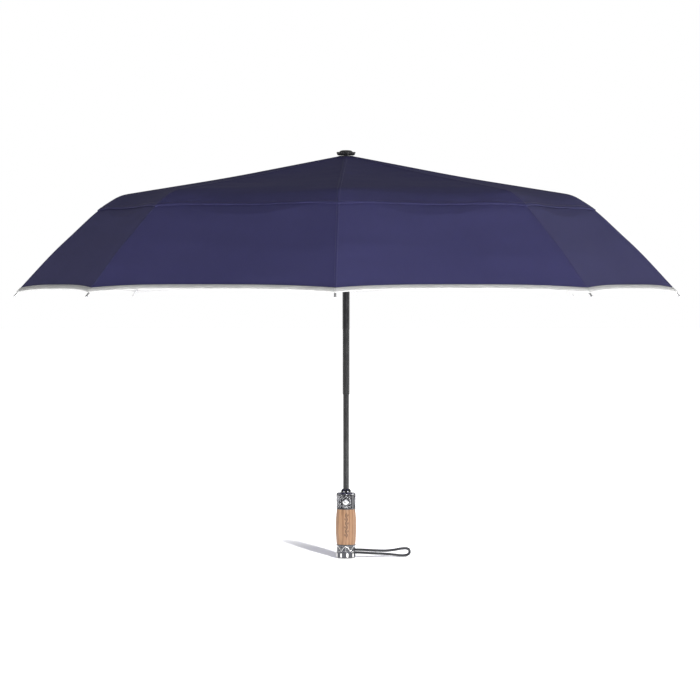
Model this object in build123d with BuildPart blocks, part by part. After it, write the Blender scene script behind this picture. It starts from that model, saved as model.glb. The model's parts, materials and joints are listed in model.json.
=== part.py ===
"""Three-fold automatic umbrella, open, standing on its handle's end cap.

Frame: origin at the centre of the end cap's flat foot, +Z up along the shaft, millimetres.
Rib 1 points along +X, the button faces -Y and the wrist strap leaves towards +X.
"""

import os
from math import atan2, cos, degrees, radians, sin, tan

from build123d import *

os.makedirs("parts", exist_ok=True)

# ---------------------------------------------------------------- driving dimensions
rib_count = 8
rib_pitch = 360 / rib_count

# handle
cap_height = 21.0
cap_radius = 14.9
cap_wall = 2.2
cap_floor = 3.0
cap_neck_height = 12.5
cap_neck_depth = 1.0
grip_length = 57.0
grip_end_radius = 14.5
grip_belly_radius = 16.4
grip_bore_radius = 8.6
collar_height = 25.0
collar_radius = 15.1
collar_wall = 2.2
collar_top = 3.0
crown_height = 6.0
crown_radius = 8.6
crown_scallop = 1.3
crown_scallops = 8
sleeve_radius = 8.5
ring_thickness = 0.45
ring_height = 1.0
fit_gap = 0.05  # between pieces that are fixed to each other

# button in the collar's front
button_width = 10.4
button_height = 9.0
button_proud = 2.4
button_travel = 2.0
button_gap = 0.25
button_flange = 1.0
catch_depth = 1.2

# telescoping octagonal shaft, sizes across flats
tube_sides = 8
lower_flats = 8.6
tube_wall = 0.5
tube_gap = 0.3
lower_shows = 148.0
middle_shows = 168.0
lower_overlap = 20.0
middle_overlap = 17.0
upper_length = 196.0
bush_length = 8.0
bush_gap = 0.08

# rib linkage
hinge_circle = 9.5  # radius of the two wire rings that the ribs hang on
ring_wire = 0.5
hub_radius = 12.5
hub_half_height = 3.5
slot_width = 2.0
top_rib_length = 175.0
middle_rib_length = 176.0
outer_rib_length = 222.9  # along its bowed rod
outer_rib_bow = 12.0  # degrees the rod bends through under the cloth's pull
strut_length = 87.0
top_rib_slope = -11.9
middle_rib_slope = -8.9
outer_rib_slope = -36.85  # at its knee end
rib_width = 3.3
rib_depth = 3.2
rib_wall = 0.75
tongue_width = 1.4
eye_radius = 1.6
joint_lift = 2.6  # how far the folding pivots stand off the ribs' own lines
rivet_radius = 0.7
running_gap = 0.1
side_gap = 0.15
strut_wall = 0.7
strut_cut_back = 12.0
rod_radius = 1.0
rod_lift = 1.8
fork_block = 24.0
rod_start = 9.0
tip_sleeve = 13.0
tip_radius = 1.7
runner_skirt = 24.0
runner_radius = 8.6
runner_gap = 0.25

# canopy, measured on the fabric's outer face over a rib
cloth = 0.5
fold_cloth_gap = 5.5  # from the first fold's pivot up to the cloth
knee_cloth_gap = 10.0  # from the knee's pivot up to the cloth
layer_gap = 0.4
hub_cloth_radius = 13.0
hub_cloth_rise = 6.3  # above the wire of the top notch
vent_hole_run = 51.0  # from the first fold out to the lower layer's inner edge
shoulder_place = (36.8, 8.8)  # distance along the bowed rod and gap from it out to the cloth
skirt_places = [(90.6, 5.8), (139.0, 4.6)]
rim_place = (215.1, 3.2)
hem_width = 9.0
hem_thickness = 1.6
cap_disc_radius = 15.0
cap_disc_height = 8.0

# wrist strap
strap_diameter = 4.2
strap_high_exit = 13.6
strap_low_exit = 9.1
strap_slot_gap = 0.4
anchor_gap = 2.4
anchor_thickness = 2.2

# ---------------------------------------------------------------- worked-out places
grip_base = cap_height
collar_base = grip_base + grip_length
crown_base = collar_base + collar_height
handle_top = crown_base + crown_height
middle_base = handle_top + lower_shows
upper_base = middle_base + middle_shows
upper_top = upper_base + upper_length
button_centre = collar_base + 10.8

middle_flats = lower_flats + 2 * (tube_gap + tube_wall)
upper_flats = middle_flats + 2 * (tube_gap + tube_wall)
tube_corner = lower_flats / 2 / cos(radians(180 / tube_sides))

notch_height = upper_top + hub_half_height
notch = (hinge_circle, notch_height)
fork_inside = tongue_width / 2 + side_gap


def along(pivot, slope, x, y):
    """Radius and height of a point given along a link (x) and off it towards the cloth (y)."""
    s = radians(slope)
    return (
        pivot[0] + x * cos(s) - y * sin(s),
        pivot[1] + x * sin(s) + y * cos(s),
    )


runner_height = notch_height + 2 * strut_length * sin(radians(top_rib_slope))
runner_pivot = (hinge_circle, runner_height)
strut_slope = -top_rib_slope
first_fold = along(notch, top_rib_slope, top_rib_length, joint_lift)
knee = along(first_fold, middle_rib_slope, middle_rib_length, -2 * joint_lift)
bow_radius = (outer_rib_length - fork_block) / radians(outer_rib_bow)
hub_cloth_height = notch_height + hub_cloth_rise


def on_bow(distance, gap=0.0):
    """Place in an outer rib's own plane, some way along its rod and off it towards the cloth."""
    bend = max(0.0, distance - fork_block) / bow_radius
    reach = bow_radius + gap
    return (
        min(distance, fork_block) + reach * sin(bend),
        rod_lift - bow_radius + reach * cos(bend),
    )


def rib_plane(azimuth, pivot, slope):
    """The upright plane of a rib: x runs outwards along the link, y is its cloth side."""
    a, s = radians(azimuth), radians(slope)
    outward = Vector(cos(a), sin(a), 0)
    up = Vector(0, 0, 1)
    return Plane(
        origin=outward * pivot[0] + up * pivot[1],
        x_dir=outward * cos(s) + up * sin(s),
        z_dir=Vector(sin(a), -cos(a), 0),
    )


def bar(plane, x_range, y_range, inside, outside, mode=Mode.ADD):
    """Adds a bar between two distances either side of a rib's plane, seen as a rectangle in it."""
    (x0, x1), (y0, y1) = x_range, y_range
    with BuildSketch(plane, mode=Mode.PRIVATE) as face:
        with Locations(((x0 + x1) / 2, (y0 + y1) / 2)):
            Rectangle(x1 - x0, y1 - y0)
    slab(plane, face.sketch, inside, outside, mode)


def slab(plane, face, inside, outside, mode=Mode.ADD):
    """Extrudes a face to both sides of a plane, from one distance off it to another."""
    if inside == 0:
        extrude(face, amount=outside, both=True, mode=mode)
        return
    for side in (1, -1):
        moved = face.moved(Location(plane.z_dir * (side * inside)))
        extrude(moved, amount=outside - inside, dir=plane.z_dir * side, mode=mode)


def pin_through(plane, centre, radius, half_length, mode=Mode.ADD):
    """Adds or cuts a round pin across a rib's plane."""
    with BuildSketch(plane, mode=Mode.PRIVATE) as face:
        with Locations(centre):
            Circle(radius)
    extrude(face.sketch, amount=half_length, both=True, mode=mode)


def lug(plane, start, end, radius, inside, outside, mode=Mode.ADD):
    """Adds a round-ended arm from one point to another in a rib's plane."""
    run = Vector(*end) - Vector(*start)
    middle = (Vector(*start) + Vector(*end)) * 0.5
    with BuildSketch(plane, mode=Mode.PRIVATE) as face:
        with Locations((middle.X, middle.Y)):
            SlotCenterToCenter(run.length, 2 * radius, rotation=degrees(atan2(run.Y, run.X)))
    slab(plane, face.sketch, inside, outside, mode)


def channel(plane, x_range, centre, width, depth, wall):
    """Adds a U-channel along a link, open on the side away from the cloth."""
    half = depth / 2
    hollow = (centre - half - wall, centre + half - wall)
    bar(plane, x_range, (centre - half, centre + half), 0, width / 2)
    bar(plane, x_range, hollow, 0, width / 2 - wall, Mode.SUBTRACT)


def save(part, name):
    part.label = name
    export_step(part, f"parts/{name}.step")


def together(name, *pieces):
    """Several separate solids that ride as one node."""
    save(Compound(label=name, children=list(pieces)), name)


# ---------------------------------------------------------------- handle
with BuildPart() as end_cap:
    with BuildSketch(Plane.XZ) as cap_profile:
        with BuildLine():
            Polyline(
                (0, 0),
                (cap_radius - 2.4, 0),
                (cap_radius - 0.6, 1.6),
                (cap_radius, 4.0),
                (cap_radius, cap_neck_height - 2.0),
                (cap_radius - cap_neck_depth, cap_neck_height),
                (grip_end_radius, cap_height),
                (0, cap_height),
                close=True,
            )
        make_face()
    revolve(axis=Axis.Z)
    with BuildSketch(Plane.XY.offset(cap_floor)):
        Circle(cap_radius - cap_wall)
    extrude(amount=cap_height, mode=Mode.SUBTRACT)
    with BuildSketch(Plane.YZ):
        with Locations((0, (strap_high_exit + strap_low_exit) / 2)):
            SlotCenterToCenter(
                strap_high_exit - strap_low_exit,
                strap_diameter + 2 * strap_slot_gap,
                rotation=90,
            )
    extrude(amount=2 * cap_radius, mode=Mode.SUBTRACT)
save(end_cap.part, "end_cap")

anchor_face = cap_radius - cap_wall - anchor_gap
with BuildPart() as strap_anchor:
    with BuildSketch(Plane.XY.offset(cap_floor)):
        with Locations((anchor_face - anchor_thickness / 2, 0)):
            Rectangle(anchor_thickness, 2 * strap_diameter)
    extrude(amount=strap_high_exit + strap_diameter / 2 + 0.5 - cap_floor)
save(strap_anchor.part, "strap_anchor")

strap_route = [
    (anchor_face, 0, strap_high_exit),
    (21, 0, strap_high_exit),
    (40, 3.4, 12.2),
    (61, 12.6, 10.8),
    (75, 20.5, 11.6),
    (86, 27.4, 13.4),
    (94.5, 32.8, 13.6),
    (99.2, 35.6, 10.8),
    (99.2, 35.4, 5.2),
    (94.5, 32.4, 2.2),
    (86, 26.8, 2.4),
    (75, 19.5, 4.2),
    (61, 11.8, 6.2),
    (40, 3.0, 7.7),
    (21, 0, strap_low_exit),
    (anchor_face, 0, strap_low_exit),
]
bend_share = 0.45  # of each stretch between two points that may be rounded off
strap_bends = []
for before, here, after in zip(strap_route, strap_route[1:], strap_route[2:]):
    arriving = Vector(*here) - Vector(*before)
    leaving = Vector(*after) - Vector(*here)
    turn = radians(arriving.get_angle(leaving))
    shorter = min(arriving.length, leaving.length)
    strap_bends.append(bend_share * shorter / tan(turn / 2))
with BuildPart() as strap:
    with BuildLine() as strap_line:
        FilletPolyline(*strap_route, radius=strap_bends)
    with BuildSketch(Plane.YZ.offset(anchor_face)):
        with Locations((0, strap_high_exit)):
            Circle(strap_diameter / 2)
    sweep()
save(strap.part, "strap")

with BuildPart() as grip:
    with BuildSketch(Plane.XZ):
        with BuildLine():
            belly = ThreePointArc(
                (grip_end_radius, grip_base),
                (grip_belly_radius, grip_base + grip_length / 2),
                (grip_end_radius, collar_base),
            )
            Polyline(
                belly @ 1,
                (grip_bore_radius, collar_base),
                (grip_bore_radius, grip_base),
                belly @ 0,
            )
        make_face()
    revolve(axis=Axis.Z)
save(grip.part, "grip")


def grip_ring(height):
    """A thin band pressed over one end of the grip."""
    with BuildPart() as band:
        with BuildSketch(Plane.XY.offset(height)):
            Circle(grip_end_radius + 2 * ring_thickness)
            Circle(grip_end_radius + ring_thickness, mode=Mode.SUBTRACT)
        extrude(amount=ring_height)
    return band.part


together("grip_rings", grip_ring(grip_base), grip_ring(collar_base - ring_height))

sleeve_base = cap_floor + 14.0
sleeve_top = collar_base + 4.0
with BuildPart() as grip_sleeve:
    with BuildSketch(Plane.XY.offset(sleeve_base)):
        Circle(sleeve_radius)
        RegularPolygon(lower_flats / 2 + fit_gap, tube_sides, major_radius=False, mode=Mode.SUBTRACT)
    extrude(amount=sleeve_top - sleeve_base)
    with BuildSketch(Plane.XY.offset(cap_height - 2.0)):
        Circle(cap_radius - cap_wall - fit_gap)
        Circle(sleeve_radius - 1.0, mode=Mode.SUBTRACT)
    extrude(amount=2.0)
save(grip_sleeve.part, "grip_sleeve")

with BuildPart() as collar:
    with BuildSketch(Plane.XY.offset(collar_base)):
        Circle(collar_radius)
    extrude(amount=collar_height)
    chamfer(collar.edges().filter_by(GeomType.CIRCLE).sort_by(Axis.Z)[-1], 1.2)
    with BuildSketch(Plane.XY.offset(collar_base)):
        Circle(collar_radius - collar_wall)
    extrude(amount=collar_height - collar_top, mode=Mode.SUBTRACT)
    with BuildSketch(Plane.XY.offset(collar_base)):
        RegularPolygon(lower_flats / 2 + fit_gap, tube_sides, major_radius=False)
    extrude(amount=collar_height, mode=Mode.SUBTRACT)
    with BuildSketch(Plane.XZ):
        with Locations((0, button_centre)):
            Ellipse(button_width / 2 + button_gap, button_height / 2 + button_gap)
    extrude(amount=collar_radius + 1, mode=Mode.SUBTRACT)
save(collar.part, "collar")

with BuildPart() as collar_crown:
    with BuildSketch(Plane.XZ):
        with BuildLine():
            Polyline(
                (0, crown_base),
                (crown_radius, crown_base),
                (crown_radius, crown_base + 2.4),
                (crown_radius - 1.4, crown_base + 3.6),
                (crown_radius - 2.2, handle_top),
                (0, handle_top),
                close=True,
            )
        make_face()
    revolve(axis=Axis.Z)
    with BuildSketch(Plane.XY.offset(crown_base)):
        RegularPolygon(lower_flats / 2 + fit_gap, tube_sides, major_radius=False)
    extrude(amount=crown_height, mode=Mode.SUBTRACT)
    with BuildSketch(Plane.XY.offset(crown_base)):
        with PolarLocations(crown_radius + 0.4 * crown_scallop, crown_scallops):
            Circle(crown_scallop)
    extrude(amount=crown_height, mode=Mode.SUBTRACT)
save(collar_crown.part, "collar_crown")

button_face = collar_radius + button_proud
button_seat = (collar_radius - collar_wall) * 0.91
with BuildPart() as button:
    with BuildSketch(Plane.XZ.offset(button_seat)):
        with Locations((0, button_centre)):
            Ellipse(button_width / 2, button_height / 2)
    extrude(amount=button_face - button_seat)
    fillet(button.faces().sort_by(Axis.Y)[0].edges(), 1.6)
    flange_width = button_width + 2 * button_flange
    with BuildSketch(Plane.XZ.offset(button_seat - 1.6)):
        with Locations((0, button_centre)):
            Ellipse(flange_width / 2, button_height / 2 + button_flange)
    extrude(amount=1.2)
    with BuildSketch(Plane.XZ.offset(button_seat - 1.6)):
        with Locations((0, button_centre)):
            Circle(1.2)
    extrude(amount=2.0)
save(button.part, "button")

catch_face = button_seat - 1.6
catch_nose = tube_corner + button_travel + running_gap
with BuildPart() as shaft_catch:
    with BuildSketch(Plane.XZ.offset(catch_face - catch_depth)):
        with Locations((0, button_centre + 5.4)):
            Rectangle(7.0, 3.2)
    extrude(amount=catch_depth)
    with BuildSketch(Plane.XZ.offset(catch_nose)):
        with Locations((0, button_centre + 5.9)):
            Rectangle(3.0, 1.4)
    extrude(amount=catch_face - catch_depth - catch_nose)
save(shaft_catch.part, "shaft_catch")

spring_wire = 0.35
spring_seat = sleeve_radius - 4.1
with BuildPart() as button_spring:
    with BuildLine() as button_coil:
        Helix(
            pitch=1.5,
            height=catch_face - spring_seat - 2 * spring_wire - 0.3,
            radius=2.4,
            center=(0, -(spring_seat + spring_wire + 0.15), button_centre - 1.0),
            direction=(0, -1, 0),
        )
    with BuildSketch(Plane(origin=button_coil.line @ 0, z_dir=button_coil.line % 0)):
        Circle(spring_wire)
    sweep()
save(button_spring.part, "button_spring")


# ---------------------------------------------------------------- shaft
def tube(name, base, length, flats):
    with BuildPart() as pipe:
        with BuildSketch(Plane.XY.offset(base)):
            RegularPolygon(flats / 2, tube_sides, major_radius=False)
            RegularPolygon(flats / 2 - tube_wall, tube_sides, major_radius=False, mode=Mode.SUBTRACT)
        extrude(amount=length)
    save(pipe.part, name)


lower_base = sleeve_base + 2.0
middle_length = middle_shows + middle_overlap
tube("lower_tube", lower_base, middle_base + lower_overlap - lower_base, lower_flats)
tube("middle_tube", middle_base, middle_length, middle_flats)
tube("upper_tube", upper_base, upper_length, upper_flats)


def bush(name, tube_top, flats):
    """A plastic guide pushed into a tube's top end, with a rim that slides in the next tube."""
    with BuildPart() as guide:
        with BuildSketch(Plane.XY.offset(tube_top - bush_length)):
            RegularPolygon(flats / 2 - tube_wall - fit_gap, tube_sides, major_radius=False)
        extrude(amount=bush_length)
        with BuildSketch(Plane.XY.offset(tube_top)):
            RegularPolygon(flats / 2 + tube_gap - bush_gap, tube_sides, major_radius=False)
        extrude(amount=1.2)
        with BuildSketch(Plane.XY.offset(tube_top - bush_length)):
            Circle(flats / 2 - tube_wall - 1.0)
        extrude(amount=bush_length + 2, mode=Mode.SUBTRACT)
    save(guide.part, name)


bush("lower_bush", middle_base + lower_overlap, lower_flats)
bush("middle_bush", middle_base + middle_length, middle_flats)

main_wire = 0.5
main_coil_radius = 2.2
main_coil_base = lower_base + 2.0
main_coil_top = middle_base + lower_overlap - bush_length - 2.0
with BuildPart() as opening_spring:
    with BuildLine() as main_coil:
        Helix(
            pitch=12.0,
            height=main_coil_top - main_coil_base,
            radius=main_coil_radius,
            center=(0, 0, main_coil_base),
        )
    with BuildSketch(Plane(origin=main_coil.line @ 0, z_dir=main_coil.line % 0)):
        Circle(main_wire)
    sweep()
save(opening_spring.part, "opening_spring")


# ---------------------------------------------------------------- hubs
def rib_slots(height):
    """Cuts a hub's rib slots and its wire groove in the part being built."""
    with BuildSketch(Plane.XY.offset(height - hub_half_height), mode=Mode.PRIVATE) as slots:
        with PolarLocations(hub_radius + 2, rib_count):
            Rectangle(2 * (hub_radius + 2 - hinge_circle + eye_radius + 0.4), slot_width)
    extrude(slots.sketch, amount=2 * hub_half_height, mode=Mode.SUBTRACT)
    with BuildSketch(Plane.XZ, mode=Mode.PRIVATE) as groove:
        with Locations((hinge_circle, height)):
            Circle(ring_wire + fit_gap)
    revolve(groove.sketch, axis=Axis.Z, mode=Mode.SUBTRACT)


stud_radius = 3.4
stud_top = hub_cloth_height + 5.0
spigot = 7.0
with BuildPart() as top_notch:
    with BuildSketch(Plane.XY.offset(notch_height - hub_half_height)):
        Circle(hub_radius)
    extrude(amount=2 * hub_half_height)
    rib_slots(notch_height)
    with BuildSketch(Plane.XY.offset(notch_height + hub_half_height)):
        Circle(stud_radius)
    extrude(amount=stud_top - notch_height - hub_half_height)
    with BuildSketch(Plane.XY.offset(upper_top - spigot)):
        RegularPolygon(upper_flats / 2 - tube_wall - fit_gap, tube_sides, major_radius=False)
    extrude(amount=spigot)
save(top_notch.part, "top_notch")

with BuildPart() as runner:
    with BuildSketch(Plane.XY.offset(runner_height - hub_half_height)):
        Circle(hub_radius)
    extrude(amount=2 * hub_half_height)
    rib_slots(runner_height)
    with BuildSketch(Plane.XY.offset(runner_height - runner_skirt)):
        Circle(runner_radius)
    extrude(amount=runner_skirt - hub_half_height)
    with BuildSketch(Plane.XY.offset(runner_height - runner_skirt)):
        Circle(runner_radius + 1.2)
    extrude(amount=3.0)
    with BuildSketch(Plane.XY.offset(runner_height - runner_skirt)):
        RegularPolygon(upper_flats / 2 + runner_gap, tube_sides, major_radius=False)
    extrude(amount=2 * runner_skirt, mode=Mode.SUBTRACT)
save(runner.part, "runner")


def wire_ring(name, height):
    with BuildPart() as ring:
        with BuildSketch(Plane.XZ):
            with Locations((hinge_circle, height)):
                Circle(ring_wire)
        revolve(axis=Axis.Z)
    save(ring.part, name)


wire_ring("notch_wire", notch_height)
wire_ring("runner_wire", runner_height)

cap_base = hub_cloth_height + 0.3
cap_top = cap_base + cap_disc_height
with BuildPart() as top_cap:
    with BuildSketch(Plane.XZ):
        with BuildLine():
            Polyline(
                (stud_radius + fit_gap, cap_base),
                (cap_disc_radius - 1.2, cap_base),
                (cap_disc_radius, cap_base + 4.4),
                (cap_disc_radius - 1.4, cap_base + 4.4),
                (cap_disc_radius - 2.4, cap_base + 3.4),
            )
            dome = TangentArc((0, cap_top), (9.4, cap_base + 6.6), tangent=(1, 0))
            Polyline((cap_disc_radius - 2.4, cap_base + 3.4), (10.2, cap_base + 4.2), dome @ 1)
            Polyline(
                dome @ 0,
                (0, stud_top + fit_gap),
                (stud_radius + fit_gap, stud_top + fit_gap),
                (stud_radius + fit_gap, cap_base),
            )
        make_face()
    revolve(axis=Axis.Z)
save(top_cap.part, "top_cap")

washer_top = hub_cloth_height - cloth - 0.1
with BuildPart() as canopy_washer:
    with BuildSketch(Plane.XY.offset(notch_height + hub_half_height + 0.05)):
        Circle(hub_radius - 1.0)
        Circle(stud_radius + fit_gap, mode=Mode.SUBTRACT)
    extrude(amount=washer_top - notch_height - hub_half_height - 0.05)
save(canopy_washer.part, "canopy_washer")


# ---------------------------------------------------------------- ribs
def top_rib(number, azimuth):
    plane = rib_plane(azimuth, notch, top_rib_slope)
    fold = (top_rib_length, joint_lift)
    channel_start, channel_end = 7.0, top_rib_length - 3.0
    half = rib_depth / 2
    with BuildPart() as strip:
        channel(plane, (channel_start, channel_end), 0, rib_width, rib_depth, rib_wall)
        lug(plane, (0, 0), (channel_start + 1, 0), eye_radius, 0, tongue_width / 2)
        bar(plane, (channel_start, channel_start + 6), (-half, half), 0, rib_width / 2 - rib_wall)
        bar(plane, (channel_end - 8, channel_end), (-half, half), 0, rib_width / 2 - rib_wall)
        lug(plane, (channel_end - 2, 0.1), fold, rib_depth / 2 - 0.1, 0, tongue_width / 2)
        pin_through(plane, (0, 0), ring_wire + 0.25, rib_width, Mode.SUBTRACT)
        pin_through(plane, (strut_length, 0), rivet_radius + 0.1, rib_width, Mode.SUBTRACT)
        pin_through(plane, fold, rivet_radius, rib_width, Mode.SUBTRACT)
    with BuildPart() as strut_rivet:
        pin_through(plane, (strut_length, 0), rivet_radius + 0.1, rib_width / 2 + 1.35)
    with BuildPart() as fold_rivet:
        pin_through(plane, fold, rivet_radius, rib_width / 2 + 0.3)
    together(f"top_rib_{number}", strip.part, strut_rivet.part, fold_rivet.part)


def stretcher(number, azimuth):
    plane = rib_plane(azimuth, runner_pivot, strut_slope)
    width = rib_width + 2 * (side_gap + strut_wall)
    channel_start = 7.0
    web_end = strut_length - strut_cut_back
    half = rib_depth / 2
    with BuildPart() as strut:
        channel(plane, (channel_start, web_end), 0, width, rib_depth, strut_wall)
        lug(plane, (0, 0), (channel_start + 1, 0), eye_radius, 0, tongue_width / 2)
        bar(plane, (channel_start, channel_start + 5), (-half, half), 0, width / 2 - strut_wall)
        lug(
            plane,
            (web_end - half, 0),
            (strut_length, 0),
            half,
            rib_width / 2 + side_gap,
            width / 2,
        )
        pin_through(plane, (0, 0), ring_wire + 0.25, width, Mode.SUBTRACT)
        pin_through(
            plane, (strut_length, 0), rivet_radius + 0.1 + running_gap, width, Mode.SUBTRACT
        )
    save(strut.part, f"stretcher_{number}")


def middle_rib(number, azimuth):
    plane = rib_plane(azimuth, first_fold, middle_rib_slope)
    centre = -joint_lift
    end = (middle_rib_length, -2 * joint_lift)
    channel_start, channel_end = 3.0, middle_rib_length - 3.0
    half = rib_depth / 2
    ear = half - 0.1
    with BuildPart() as strip:
        channel(plane, (channel_start, channel_end), centre, rib_width, rib_depth, rib_wall)
        lug(plane, (0, 0), (channel_start + 1.5, centre), ear, fork_inside, rib_width / 2)
        bar(
            plane,
            (channel_end - 8, channel_end),
            (centre - half, centre + half),
            0,
            rib_width / 2 - rib_wall,
        )
        lug(plane, (channel_end - 2, centre), end, ear, 0, tongue_width / 2)
        pin_through(plane, (0, 0), rivet_radius + running_gap, rib_width, Mode.SUBTRACT)
        pin_through(plane, end, rivet_radius, rib_width, Mode.SUBTRACT)
    with BuildPart() as knee_rivet:
        pin_through(plane, end, rivet_radius, rib_width / 2 + 0.3)
    together(f"middle_rib_{number}", strip.part, knee_rivet.part)


def outer_rib(number, azimuth):
    plane = rib_plane(azimuth, knee, outer_rib_slope)
    block_start = 4.5
    half = rod_radius + 0.4
    rod_end = outer_rib_length - 4.0

    def place(distance):
        return plane.from_local_coords(Vector(*on_bow(distance), 0))

    def along_rod(start, end, radius, mode=Mode.ADD):
        """Adds or cuts a round length of the bowed rod."""
        with BuildLine() as line:
            ThreePointArc(place(start), place((start + end) / 2), place(end))
        with BuildSketch(Plane(origin=line.line @ 0, z_dir=line.line % 0)) as section:
            Circle(radius)
        sweep(section.sketch, path=line.line, mode=mode)

    rod_plane = Plane(origin=place(rod_start), z_dir=plane.x_dir, x_dir=plane.z_dir)
    with BuildPart() as fork:
        lug(plane, (0, 0), (block_start + 1, rod_lift), half, fork_inside, rib_width / 2)
        block_depth = (rod_lift - half, rod_lift + half)
        bar(plane, (block_start + 0.5, fork_block), block_depth, 0, rib_width / 2)
        pin_through(plane, (0, 0), rivet_radius + running_gap, rib_width, Mode.SUBTRACT)
        with BuildSketch(rod_plane, mode=Mode.PRIVATE) as bore:
            Circle(rod_radius)
        extrude(bore.sketch, amount=fork_block, mode=Mode.SUBTRACT)
    with BuildPart() as rod:
        extrude(bore.sketch, amount=fork_block - rod_start)
        along_rod(fork_block, rod_end, rod_radius)
    with BuildPart() as tip:
        along_rod(outer_rib_length - tip_sleeve, outer_rib_length, rod_radius + 0.45)
        with Locations(place(outer_rib_length)):
            Sphere(tip_radius)
        along_rod(outer_rib_length - tip_sleeve, rod_end, rod_radius, Mode.SUBTRACT)
    together(f"outer_rib_{number}", fork.part, rod.part, tip.part)


for index in range(rib_count):
    rib_azimuth = index * rib_pitch
    top_rib(index + 1, rib_azimuth)
    stretcher(index + 1, rib_azimuth)
    middle_rib(index + 1, rib_azimuth)
    outer_rib(index + 1, rib_azimuth)

# ---------------------------------------------------------------- canopy
fold_cloth_height = first_fold[1] + fold_cloth_gap
knee_cloth_height = knee[1] + knee_cloth_gap
layer_drop = cloth + layer_gap


def over_rod(distance, gap):
    """Radius and height of the cloth's outer face over an outer rib."""
    return along(knee, outer_rib_slope, *on_bow(distance, gap))


rim = over_rod(*rim_place)
shoulder = over_rod(*shoulder_place)
skirt = [over_rod(*place) for place in reversed(skirt_places)]
rim_run = Vector(*skirt[0]) - Vector(*rim)
hem = Vector(*rim) + rim_run.normalized() * hem_width
hem_ring = (hem.X, hem.Y)


def ring_face(radius, height):
    """An eight-sided face with its corners over the ribs."""
    with BuildSketch(Plane.XY.offset(height), mode=Mode.PRIVATE) as face:
        RegularPolygon(radius, rib_count)
    return face.sketch.face()


def tent(rings, mode=Mode.ADD):
    """Adds an eight-sided solid through rings of (radius over a rib, height), lowest first."""
    for low, high in zip(rings, rings[1:]):
        loft([ring_face(*low), ring_face(*high)], ruled=True, mode=mode)


def lowered(rings, drop):
    return [(radius, height - drop) for radius, height in rings]


upper_rings = [
    shoulder,
    (knee[0], knee_cloth_height),
    (first_fold[0], fold_cloth_height),
    (hub_cloth_radius, hub_cloth_height),
]
with BuildPart() as upper_canopy:
    tent(upper_rings)
    tent(lowered(upper_rings, cloth), Mode.SUBTRACT)
    with BuildSketch(Plane.XY.offset(hub_cloth_height - 2 * cloth)):
        Circle(stud_radius + 0.3)
    extrude(amount=3 * cloth, mode=Mode.SUBTRACT)
save(upper_canopy.part, "upper_canopy")

vent_hole_radius = first_fold[0] + vent_hole_run
share = vent_hole_run / (knee[0] - first_fold[0])
vent_hole_height = fold_cloth_height + share * (knee_cloth_height - fold_cloth_height)
lower_rings = lowered(
    [
        hem_ring,
        *skirt,
        shoulder,
        (knee[0], knee_cloth_height),
        (vent_hole_radius, vent_hole_height),
    ],
    layer_drop,
)
with BuildPart() as lower_canopy:
    tent(lower_rings)
    tent(lowered(lower_rings, cloth), Mode.SUBTRACT)
    vent_hole = ring_face(vent_hole_radius, lower_rings[-1][1] - 2 * cloth)
    extrude(vent_hole, amount=3 * cloth, mode=Mode.SUBTRACT)
save(lower_canopy.part, "lower_canopy")

binding_rings = [rim, hem_ring]
with BuildPart() as edge_binding:
    tent(binding_rings)
    tent(lowered(binding_rings, hem_thickness), Mode.SUBTRACT)
    extrude(ring_face(hem_ring[0], rim[1]), amount=hem_ring[1], mode=Mode.SUBTRACT)
save(edge_binding.part, "edge_binding")
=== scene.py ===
import json
from math import atan2, cos, pi, radians, sin, sqrt

import bpy
import bmesh
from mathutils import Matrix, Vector


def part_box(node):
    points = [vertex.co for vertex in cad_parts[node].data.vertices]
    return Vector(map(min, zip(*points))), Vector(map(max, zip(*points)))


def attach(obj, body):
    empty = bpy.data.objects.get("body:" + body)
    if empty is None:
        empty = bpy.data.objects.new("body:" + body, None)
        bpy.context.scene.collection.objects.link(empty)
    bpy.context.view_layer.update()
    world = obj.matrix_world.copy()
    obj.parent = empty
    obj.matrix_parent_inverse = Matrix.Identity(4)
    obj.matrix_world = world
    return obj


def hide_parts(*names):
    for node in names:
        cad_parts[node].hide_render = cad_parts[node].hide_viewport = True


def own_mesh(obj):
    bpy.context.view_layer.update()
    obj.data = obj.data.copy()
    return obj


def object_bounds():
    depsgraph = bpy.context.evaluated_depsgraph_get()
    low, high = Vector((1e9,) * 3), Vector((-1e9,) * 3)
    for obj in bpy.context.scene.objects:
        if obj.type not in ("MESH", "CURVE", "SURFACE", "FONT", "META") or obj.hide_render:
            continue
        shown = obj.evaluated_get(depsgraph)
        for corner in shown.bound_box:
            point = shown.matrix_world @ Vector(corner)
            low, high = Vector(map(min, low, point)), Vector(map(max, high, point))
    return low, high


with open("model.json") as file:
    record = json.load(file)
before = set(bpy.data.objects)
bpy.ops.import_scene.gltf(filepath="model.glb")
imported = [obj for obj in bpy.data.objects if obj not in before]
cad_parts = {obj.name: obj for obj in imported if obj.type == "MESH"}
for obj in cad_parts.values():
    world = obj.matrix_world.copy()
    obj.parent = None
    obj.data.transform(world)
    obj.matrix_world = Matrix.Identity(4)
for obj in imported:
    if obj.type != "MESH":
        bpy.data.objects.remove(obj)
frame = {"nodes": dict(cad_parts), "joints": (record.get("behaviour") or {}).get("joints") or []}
cad_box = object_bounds()

# ------------------------------------------------------------------ camera
# A long lens level with the open canopy's edge and aimed a little down, at the middle of the
# umbrella, so that the rim is seen on edge and the handle stands clear of the floor.

view_distance = 5.2
view_turn = radians(1.7)
view_height = 0.421
aim_height = 0.3265
picture_width = 1.096
sideways = 0.0062

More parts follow.
